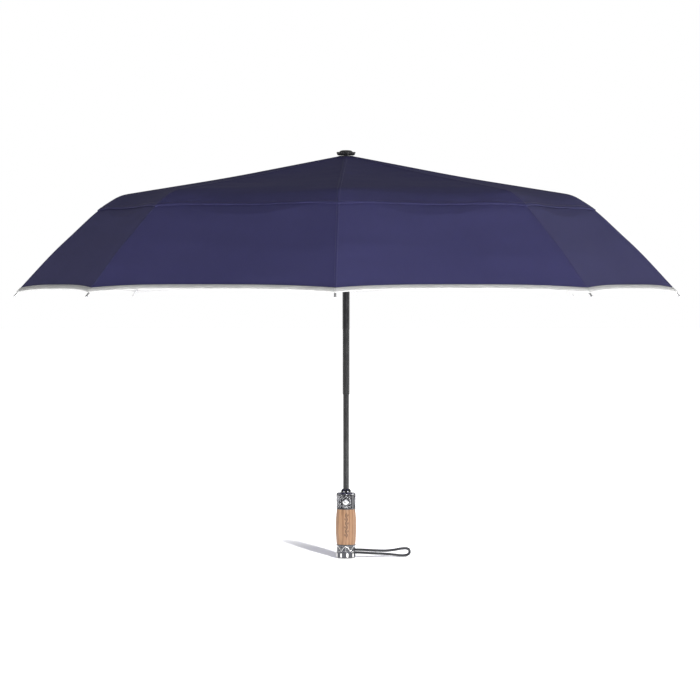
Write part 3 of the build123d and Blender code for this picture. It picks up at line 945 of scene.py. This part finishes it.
seam_edge = 0.0008
seam_inset = seam_width - seam_edge
for rib in range(rib_count):
    for side, side_name in halves:
        where = f"{rib + 1}_{side_name}"
        rows = [
            ("upper_top", 0, "top_rib", hub_station + 0.018, fold_station, 0.0),
            ("upper_middle", 1, "middle_rib", fold_station, knee_station, 0.0),
            ("upper_outer", 2, "outer_rib", level_with_knee(0), vent_station - 0.002, 0.0),
            ("lower_outer", 2, "outer_rib", level_with_knee(0), rim_station - 0.010, -layer_gap),
        ]
        for kind, link, link_name, start, end, lift in rows:
            lines = [seam_line(rib, side, start, end, seam_inset, lift + seam_lift)]
            body = f"{link_name}_{rib + 1}"
            if kind == "upper_outer":
                name = f"vent_hem_{where}"
                section = tape_section(vent_hem_level, vent_hem_thickness)
                mesh = band(name, rib, side, vent_hem_station, vent_hem_width, section, hem_columns)
                turned = new_piece(name, mesh, navy, body)
                gather(turned, rib, side, link)
                trims[kind, rib, side].append(turned)
                inset = vent_hem_width - stitch_inset
                lines.append(hem_line(rib, side, vent_hem_station, inset, vent_thread_lift))
            if kind == "lower_outer":
                inset = binding_width - stitch_inset
                tape_row = [hem_line(rib, side, binding_edge, inset, binding_thickness - layer_gap)]
                pale = pale_thread_finish.material
                row = stitched(f"tape_stitches_{where}", tape_row, body, pale)
                gather(row, rib, side, link)
                trims[kind, rib, side].append(row)
            row = stitched(f"{kind}_stitches_{where}", lines, body, thread_finish.material)
            gather(row, rib, side, link)
            trims[kind, rib, side].append(row)

# ------------------------------------------------------------------ shaft, ribs and hubs
# The shaft and ribs are black-coated steel, the hubs and guides moulded black plastic, and the
# springs and wire rings bright steel. Each rib ends in a small bright tip sewn under the hem.


def coated(name, low, high, rough, metallic, coat=0.0):
    """Coated steel, its drawing lines running along the shaft, or moulded plastic."""
    finish = Finish(name)
    place = finish.place()
    lines = finish.noise(finish.stretched(place, (2600, 2600, 40)), 1, 2.0)
    cloud = finish.noise(place, 90, 3.0)
    finish.surface(
        Base_Color=finish.blend(cloud.step(0.25, 0.75), low, high),
        Roughness=rough + 0.16 * lines,
        Metallic=metallic,
        Coat_Weight=coat,
        Normal=finish.bump(lines + 0.5 * cloud, 0.00003, 0.35),
    )
    return finish.material


black_steel = coated("black_steel", (0.014, 0.014, 0.015), (0.024, 0.024, 0.025), 0.22, 0.8, 0.2)
black_plastic = coated("black_plastic", (0.018, 0.018, 0.019), (0.030, 0.030, 0.031), 0.40, 0.0)
bright_steel = coated("bright_steel", (0.50, 0.50, 0.51), (0.66, 0.66, 0.66), 0.20, 1.0)

nodes_in = {
    black_steel: ["lower_tube", "middle_tube", "upper_tube"],
    black_plastic: ["lower_bush", "middle_bush", "top_notch", "runner", "canopy_washer"]
    + ["strap_anchor", "grip_sleeve", "shaft_catch"],
    bright_steel: ["button_spring", "opening_spring", "notch_wire", "runner_wire"],
}
for number in range(1, rib_count + 1):
    for link_name in ("top_rib", "stretcher", "middle_rib", "outer_rib"):
        nodes_in[black_steel].append(f"{link_name}_{number}")
for material, names in nodes_in.items():
    for name in names:
        mesh = frame["nodes"][name].data
        mesh.materials.clear()
        mesh.materials.append(material)


def turned(name, outline, around, reach=None):
    """A closed skin turned about the shaft from (radius, height) points, first to last."""
    points = []
    for radius, height in outline:
        for step in range(around):
            angle = 2 * pi * step / around
            out = radius if reach is None else reach(radius, angle, height)
            points.append((out * cos(angle), out * sin(angle), height))
    return smooth_mesh(name, points, skin_faces(len(outline), around))


tip_stations = [(0.0, 0.00152), (0.0005, 0.00172), (0.0105, 0.00158), (0.0118, 0.00150)]
tip_end = 0.0150
tip_bulb = 0.00205
tip_around = 20
tip_start = rod_length - 0.0132
for rib in range(rib_count):
    angle = rib * gore_angle
    outward = Vector((cos(angle), sin(angle), 0))
    base, end = over_rod(tip_start, 0), over_rod(rod_length, 0)
    along = Vector((outward.x * (end - base).x, outward.y * (end - base).x, (end - base).y))
    along.normalize()
    outline = list(tip_stations)
    for step in range(9):
        turn = pi * (0.30 + 0.70 * step / 8)
        outline.append((tip_end - 0.0018 - tip_bulb * cos(turn), tip_bulb * sin(turn) + 1e-5))
    across = Vector((-sin(angle), cos(angle), 0))
    over = along.cross(across)
    start = Vector((outward.x * base.x, outward.y * base.x, base.y))
    points = []
    for distance, radius in outline:
        for step in range(tip_around):
            turn = 2 * pi * step / tip_around
            points.append(start + along * distance + (across * cos(turn) + over * sin(turn)) * radius)
    name = f"rib_tip_{rib + 1}"
    mesh = smooth_mesh(name, points, skin_faces(len(outline), tip_around, flipped=True))
    new_piece(name, mesh, bright_steel, f"outer_rib_{rib + 1}")

# ------------------------------------------------------------------ top cap
# A moulded black cap: a low dome in the middle of a flange whose upturned edge is scalloped.

top_cap_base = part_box("top_cap")[0][2]
scallops = 16
scallop_depth = 0.0011
scallop_start = 0.0122


def scalloped(radius, angle, height):
    wave = 0.5 + 0.5 * cos(scallops * angle)
    near_edge = min(1, max(0, (radius - scallop_start) / 0.002))
    return radius - scallop_depth * near_edge * (1 - wave) ** 2 * 0.7


cap_outline = [
    (0.0036, 0.0001), (0.0128, 0.0001), (0.0136, 0.0006), (0.0142, 0.0022),
    (0.0148, 0.0040), (0.0150, 0.0047), (0.0146, 0.0050), (0.0139, 0.0046),
    (0.0128, 0.0037), (0.0112, 0.0037), (0.0102, 0.0046), (0.0100, 0.0058),
    (0.0094, 0.0067), (0.0080, 0.0073), (0.0056, 0.0078), (0.0028, 0.0080),
    (0.0006, 0.00805),
]
cap_outline = [(radius, top_cap_base + rise) for radius, rise in cap_outline]
finished("top_cap", turned("top_cap", cap_outline, 160, scalloped), black_plastic, "upper_tube")

# ------------------------------------------------------------------ handle metal
# A bright cast end cap with a fluted foot under a row of pointed leaves, and a black-chrome collar
# in filigree relief with a plain upright band, a crown on top and a lozenge button in front.

cap_radius = 0.0149
flutes = 9
leaves = 6
slot_half_width = 0.0023
slot_low, slot_high = 0.0072, 0.0156


def smooth_step(low, high, value):
    share = min(1.0, max(0.0, (value - low) / (high - low)))
    return share * share * (3 - 2 * share)


def leaf(angle, height, base, tall, count):
    """1 inside a pointed leaf, 0 outside, with a soft edge."""
    turn = (angle * count / (2 * pi)) % 1.0
    off = abs(2 * turn - 1)
    outline = base + tall * (1 - off**1.6)
    return smooth_step(-0.0006, 0.0006, outline - height)


def cap_reach(radius, angle, height):
    flute = abs(cos(flutes * angle / 2)) ** 0.7
    in_foot = smooth_step(0.0012, 0.0030, height) * (1 - smooth_step(0.0088, 0.0104, height))
    out = radius - 0.0007 * in_foot * (1 - flute)
    front_leaf = leaf(angle, height, 0.0115, 0.0090, leaves)
    back_leaf = leaf(angle + pi / leaves, height, 0.0105, 0.0075, leaves)
    turn = (angle * leaves / (2 * pi)) % 1.0
    vein = 1 - smooth_step(0.0, 0.06, abs(turn - 0.5))
    in_leaves = smooth_step(0.0108, 0.0122, height)
    relief = max(front_leaf, 0.55 * back_leaf) - 0.35 * vein * front_leaf
    out += 0.0008 * in_leaves * (relief - 0.5)
    out -= 0.0006 * (1 - smooth_step(0.0, 0.0006, abs(height - 0.0112)))
    y = out * sin(angle)
    if cos(angle) > 0:
        middle = min(max(height, slot_low + slot_half_width), slot_high - slot_half_width)
        off = sqrt(y * y + (height - middle) ** 2)
        out -= 0.0022 * (1 - smooth_step(slot_half_width - 0.0003, slot_half_width, off))
    return out


def store(mesh, name, value):
    """Stores a number at each point, worked out from its angle round the shaft and its height."""
    layer = mesh.attributes.new(name, "FLOAT", "POINT")
    for vertex in mesh.vertices:
        x, y, z = vertex.co
        layer.data[vertex.index].value = value(atan2(y, x), z)


def chrome(name, bright, deep, rough, coat):
    """Plated casting, its colour a painted reflection: painted highlights where the stored shine is high,
    near black elsewhere.
    """
    finish = Finish(name)
    place = finish.place()
    shine = finish.node("ShaderNodeAttribute", {"attribute_name": "shine"}, output="Fac")
    wear = finish.noise(place, 900, 3.0)
    # Painted highlight: the stored shine, roughened by wear noise, picks the bright colour over the
    # near-black one.
    painted_highlight_mask = (shine + 0.30 * wear).step(0.35, 1.05)
    finish.surface(
        Base_Color=finish.blend(painted_highlight_mask, deep, bright),
        Roughness=rough + 0.16 * (1.0 - painted_highlight_mask) + 0.08 * wear,
        Metallic=1.0,
        Coat_Weight=coat,
        Normal=finish.bump(finish.noise(place, 1500, 2.0), 0.00002, 0.4),
    )
    return finish.material


def cap_shine(angle, height):
    """Painted highlights and reflections: flute crests, leaf edges and veins are painted bright; the
    leaves' faces and the gaps are painted black.
    """
    flute = abs(cos(flutes * angle / 2)) ** 7
    if height < 0.0104:
        tall = smooth_step(0.0010, 0.0030, height) * (1 - smooth_step(0.0075, 0.0100, height))
        return max(flute * tall, 0.5 - 0.5 * smooth_step(0.0006, 0.0016, height))
    turn = (angle * leaves / (2 * pi)) % 1.0
    outline = 0.0115 + 0.0090 * (1 - abs(2 * turn - 1) ** 1.6)
    edge = 1 - smooth_step(0.0004, 0.0012, abs(outline - 0.0006 - height))
    vein = 1 - smooth_step(0.01, 0.05, abs(turn - 0.5))
    behind = 0.30 if height > outline else 0.0
    return max(0.9 * edge, 0.5 * vein, behind, 0.7 - 0.7 * smooth_step(0.0110, 0.0118, height))


cap_chrome = chrome("cap_chrome", (0.92, 0.91, 0.88), (0.085, 0.087, 0.095), 0.08, 0.2)
cap_rows = [(0.0125, 0.0), (0.0131, 0.0003), (0.0138, 0.0009), (0.0144, 0.0016)]
cap_rows += [(0.01475, 0.0026), (cap_radius, 0.0040)]
cap_rows += [(cap_radius, 0.0040 + 0.0065 * step / 20) for step in range(1, 21)]
cap_rows += [(cap_radius - 0.0010 * step / 6, 0.0105 + 0.0020 * step / 6) for step in range(1, 7)]
cap_rows += [(0.0139 + 0.0008 * step / 28, 0.0125 + 0.0085 * step / 28) for step in range(1, 29)]
cap_rows += [(0.0141, 0.0212), (0.0120, 0.0212)]
cap_mesh = turned("end_cap", cap_rows, 288, cap_reach)
store(cap_mesh, "shine", cap_shine)
finished("end_cap", cap_mesh, cap_chrome, "handle")

collar_base, collar_radius = 0.078, 0.0151
plain_band = radians(-43)
plain_half = radians(12)
button_height = collar_base + 0.0108
button_half_width, button_half_height = 0.0052, 0.0045


def around_button(angle, height):
    """How far from the button's centre, 1 at its edge; large at the back."""
    if sin(angle) > 0:
        return 9.0
    x = collar_radius * cos(angle)
    reach = (abs(x) / button_half_width) ** 1.5
    rise = (abs(height - button_height) / button_half_height) ** 1.5
    return (reach + rise) ** (1 / 1.5)


def off_plain_band(angle):
    return abs((angle - plain_band + pi) % (2 * pi) - pi)


def filigree(angle, height):
    """The collar's relief, 1 on its curling stems and leaves and 0 in the ground between them."""
    over, up = angle * collar_radius * 1000, (height - collar_base) * 1000
    curl = cos(0.662 * over + 1.9 * sin(0.50 * up + 0.6)) * cos(0.72 * up + 1.7 * sin(0.398 * over))
    stem = 1 - smooth_step(0.08, 0.26, abs(curl))
    return max(stem, 0.8 * smooth_step(0.50, 0.80, curl))


def filigree_field(angle, height):
    """1 where the collar carries filigree, 0 on its rims, its plain band and round the button."""
    up = height - collar_base
    field = smooth_step(0.0012, 0.0020, up) * (1 - smooth_step(0.0205, 0.0213, up))
    field *= smooth_step(plain_half, plain_half + 0.05, off_plain_band(angle))
    return field * smooth_step(1.25, 1.40, around_button(angle, height))


def collar_reach(radius, angle, height):
    out = radius - 0.00085 * filigree_field(angle, height) * (1 - filigree(angle, height))
    groove = 1 - smooth_step(0.0, 0.022, abs(off_plain_band(angle) - plain_half * 0.80))
    out -= 0.0003 * groove * smooth_step(0.0012, 0.0020, height - collar_base)
    return out - 0.0030 * (1 - smooth_step(1.04, 1.10, around_button(angle, height)))


# Painted highlights on the collar: bright rims, a vertical streak on the plain band, a ring round the
# button and the filigree's crests; the rest stays near black.
def collar_shine(angle, height):
    up = height - collar_base
    rims = max(smooth_step(0.0222, 0.0232, up), 1 - smooth_step(0.0003, 0.0008, up))
    painted_streak_highlight = 1 - smooth_step(0.02, 0.08, abs(off_plain_band(angle) - plain_half * 0.35))
    ring = around_button(angle, height)
    bezel = smooth_step(1.10, 1.16, ring) * (1 - smooth_step(1.20, 1.26, ring))
    painted_highlight_mask = filigree(angle, height) ** 2 * filigree_field(angle, height)
    return max(rims * 0.8, 0.45 * painted_streak_highlight, 0.45 * bezel, painted_highlight_mask)


collar_chrome = chrome("collar_chrome", (0.50, 0.50, 0.52), (0.014, 0.014, 0.016), 0.12, 0.3)
collar_rows = [(0.0130, collar_base), (0.0146, collar_base), (0.0150, collar_base + 0.0003)]
collar_rows += [(collar_radius, collar_base + 0.0006 + 0.0214 * step / 110) for step in range(111)]
collar_rows += [
    (0.01508, 0.1008),
    (0.0148, 0.1018),
    (0.0141, 0.1026),
    (0.0134, 0.1029),
    (0.0110, 0.10295),
    (0.0085, 0.10295),
    (0.0080, 0.1029),
]
collar_mesh = turned("collar", collar_rows, 400, collar_reach)
store(collar_mesh, "shine", collar_shine)
finished("collar", collar_mesh, collar_chrome, "handle")

crown_points = 8


def crown_reach(radius, angle, height):
    wave = abs(sin(crown_points * angle / 2))
    rise = smooth_step(0.1030, 0.1038, height) * (1 - smooth_step(0.1072, 0.1080, height))
    return radius - 0.0011 * rise * (1 - wave) ** 1.5


# Painted highlights on the crown: its scallops' points and its lip are painted bright.
def crown_shine(angle, height):
    wave = abs(sin(crown_points * angle / 2))
    lip = 1 - smooth_step(0.0003, 0.0007, abs(height - 0.1034))
    return max(smooth_step(0.80, 0.97, wave), 0.6 * lip)


crown_outline = [
    (0.0052, 0.1029),
    (0.0084, 0.1029),
    (0.0088, 0.1032),
    (0.0088, 0.1037),
    (0.0083, 0.1040),
    (0.0085, 0.1046),
    (0.0085, 0.1055),
    (0.0082, 0.1062),
    (0.0074, 0.1067),
    (0.0069, 0.1071),
    (0.0068, 0.1079),
    (0.0063, 0.1087),
    (0.0057, 0.1090),
    (0.0049, 0.1090),
]
crown_mesh = turned("collar_crown", crown_outline, 192, crown_reach)
store(crown_mesh, "shine", crown_shine)
finished("collar_crown", crown_mesh, collar_chrome, "handle")

button_face = -0.0174
lozenge_power = 1.45
slot_reach, slot_half = 0.0030, 0.00042


def lozenge(angle, share):
    """A point of the button's outline, a share of the way out from its centre."""
    c, s = cos(angle), sin(angle)
    reach = abs(c / button_half_width) ** lozenge_power + abs(s / button_half_height) ** lozenge_power
    reach = reach ** (-1 / lozenge_power)
    return share * reach * c, share * reach * s


button_points, button_around = [], 96
button_rings = [(step / 24, None) for step in range(1, 25)] + [(1.0, 0.0150), (1.0, 0.0112)]
for share, depth in button_rings:
    for step in range(button_around):
        x, z = lozenge(2 * pi * step / button_around, share)
        if depth is None:
            rounded = 0.0009 * share**8
            dish = 0.0010 * share**2
            in_slot = 1 - smooth_step(slot_half * 0.8, slot_half * 1.2, abs(z))
            in_slot *= 1 - smooth_step(slot_reach * 0.92, slot_reach, abs(x))
            y = button_face + dish + rounded + 0.0008 * in_slot
        else:
            y = -depth
        button_points.append((x, y, button_height + z))
button_mesh = smooth_mesh("button", button_points, skin_faces(len(button_rings), button_around))

button_finish = Finish("button_chrome")
button_scratch = button_finish.noise(button_finish.place(), 1800, 2.0)
button_x, _, button_z = button_finish.parts(button_finish.place())
# The slot is painted near black as painted shade in its recess; the face round it is pale.
across_slot = (button_z - button_height).size().step(slot_half * 0.9, slot_half * 1.3)
along_slot = button_x.size().step(slot_reach * 0.92, slot_reach * 1.02)
outside_slot = across_slot.math("MAXIMUM", across_slot, along_slot)
button_finish.surface(
    Base_Color=button_finish.blend(outside_slot, (0.02, 0.02, 0.022), (0.86, 0.86, 0.86)),
    Roughness=0.18 + 0.12 * button_scratch,
    Metallic=0.35,
    Coat_Weight=0.5,
    Normal=button_finish.bump(button_scratch, 0.00002, 0.3),
)
finished("button", button_mesh, button_finish.material, "button")

# ------------------------------------------------------------------ wooden grip
# Oiled warm wood turned with a slight belly, a twining vine carved down the front, and a thin
# plated ring over each end.

grip_base, grip_length = 0.021, 0.057
grip_end_radius, grip_belly = 0.0145, 0.0019
vine_centre = radians(-86)
vine_low, vine_high = 0.034, 0.071
vine_depth = 0.00032
vine_half_width = 4.2
vine_wave = 12.4
vine_sway = 1.6
vine_lean = 0.81
leaf_reach = 1.9
leaf_half_width = 0.95
leaf_turn = (0.62, 0.78)
grip_arc = 15.8


def vine(angle, height):
    """Depth of the carving, 0 to 1: a waving stem with a pointed leaf in each bend, in millimetres."""
    x = ((angle - vine_centre + pi) % (2 * pi) - pi) * grip_arc
    z = (height - vine_low) * 1000
    tall = (vine_high - vine_low) * 1000
    if abs(x) > vine_half_width or not -1 < z < tall + 1:
        return 0.0
    wave = 2 * pi * z / vine_wave
    stem = abs(x - vine_sway * sin(wave)) / sqrt(1 + (vine_lean * cos(wave)) ** 2)
    carved = 1 - smooth_step(0.30, 0.52, stem)
    carved *= smooth_step(-0.8, 0.2, z) * (1 - smooth_step(tall - 0.2, tall + 0.8, z))
    for bend in range(6):
        side = 1 if bend % 2 else -1
        leaf_z, leaf_x = vine_wave * (0.25 + 0.5 * bend), side * leaf_reach
        rising, leaning = leaf_turn
        along = (z - leaf_z) * rising + (x - leaf_x) * side * leaning
        over = (z - leaf_z) * leaning * side - (x - leaf_x) * rising
        share = (along + leaf_reach) / (2 * leaf_reach)
        if 0 < share < 1:
            half = leaf_half_width * sin(pi * share**0.8)
            edge = abs(abs(over) - half)
            midrib = 0.8 - 0.8 * smooth_step(0.08, 0.20, abs(over))
            carved = max(carved, 1 - smooth_step(0.16, 0.34, edge), midrib)
    return carved


def grip_reach(radius, angle, height):
    return radius - vine_depth * vine(angle, height)


grip_rows = [(0.0120, grip_base + 0.0001)]
for step in range(229):
    share = step / 228
    radius = grip_end_radius + grip_belly * (1 - (2 * share - 1) ** 2)
    grip_rows.append((radius, grip_base + 0.0001 + (grip_length - 0.0002) * share))
grip_rows.append((0.0120, grip_base + grip_length - 0.0001))
grip_mesh = turned("grip", grip_rows, 400, grip_reach)
# The carving's depth is stored for the wood's colour, which paints shade into the grooves.
store(grip_mesh, "carved", vine)

wood_finish = Finish("oiled_wood")
wood_place = wood_finish.place()
grain_place = wood_finish.stretched(wood_place, (420, 420, 26))
wood_warp = wood_finish.noise(wood_finish.stretched(wood_place, (60, 60, 9)), 1, 3.0)
wood_x, wood_y, _ = wood_finish.parts(wood_place)
rings = ((wood_x * 1.2 + wood_y * 0.5) * 900 + 9.0 * wood_warp).sine()
fine_grain = wood_finish.noise(grain_place, 1.6, 4.0, 0.6)
pores = wood_finish.noise(wood_finish.stretched(wood_place, (1500, 1500, 50)), 1, 2.0).step(0.60, 0.72)
figure = 0.25 * rings.step(-1, 1) + 0.75 * fine_grain
plain_wood = wood_finish.blend(figure.step(0.2, 0.8), (0.255, 0.128, 0.060), (0.46, 0.255, 0.130))
pored_wood = wood_finish.blend(0.35 * pores, plain_wood, (0.12, 0.055, 0.025))
# Painted shade: the carving's grooves are painted nearly black by their depth.
painted_groove_shade = wood_finish.node("ShaderNodeAttribute", {"attribute_name": "carved"}, output="Fac")
wood_finish.surface(
    Base_Color=wood_finish.blend(0.95 * painted_groove_shade, pored_wood, (0.050, 0.022, 0.010)),
    Roughness=0.36 + 0.12 * fine_grain,
    Coat_Weight=0.12,
    Coat_Roughness=0.3,
    Normal=wood_finish.bump(fine_grain - 0.8 * pores, 0.00004, 0.5),
)
finished("grip", grip_mesh, wood_finish.material, "handle")

ring_height = 0.0010
ring_outline = [(0.0144, 0.0), (0.0150, 0.0), (0.01535, 0.0003), (0.01535, 0.0007)]
ring_outline += [(0.0150, ring_height), (0.0144, ring_height)]
ring_mesh = bpy.data.meshes.new("grip_rings")
ring_bm = bmesh.new()
for base in (grip_base, grip_base + grip_length - ring_height):
    outline = [(radius, base + height) for radius, height in ring_outline]
    ring_bm.from_mesh(turned("grip_ring", outline, 128))
ring_bm.to_mesh(ring_mesh)
ring_mesh.shade_smooth()
store(ring_mesh, "shine", lambda angle, height: 0.4)
finished("grip_rings", ring_mesh, collar_chrome, "handle")

# ------------------------------------------------------------------ cloth as cut
# Each panel's flat size before it was sewn, with the tapes and hems that are sewn to it.

for key, piece in cloth_pieces.items():
    flat, area, link = cuts[key]
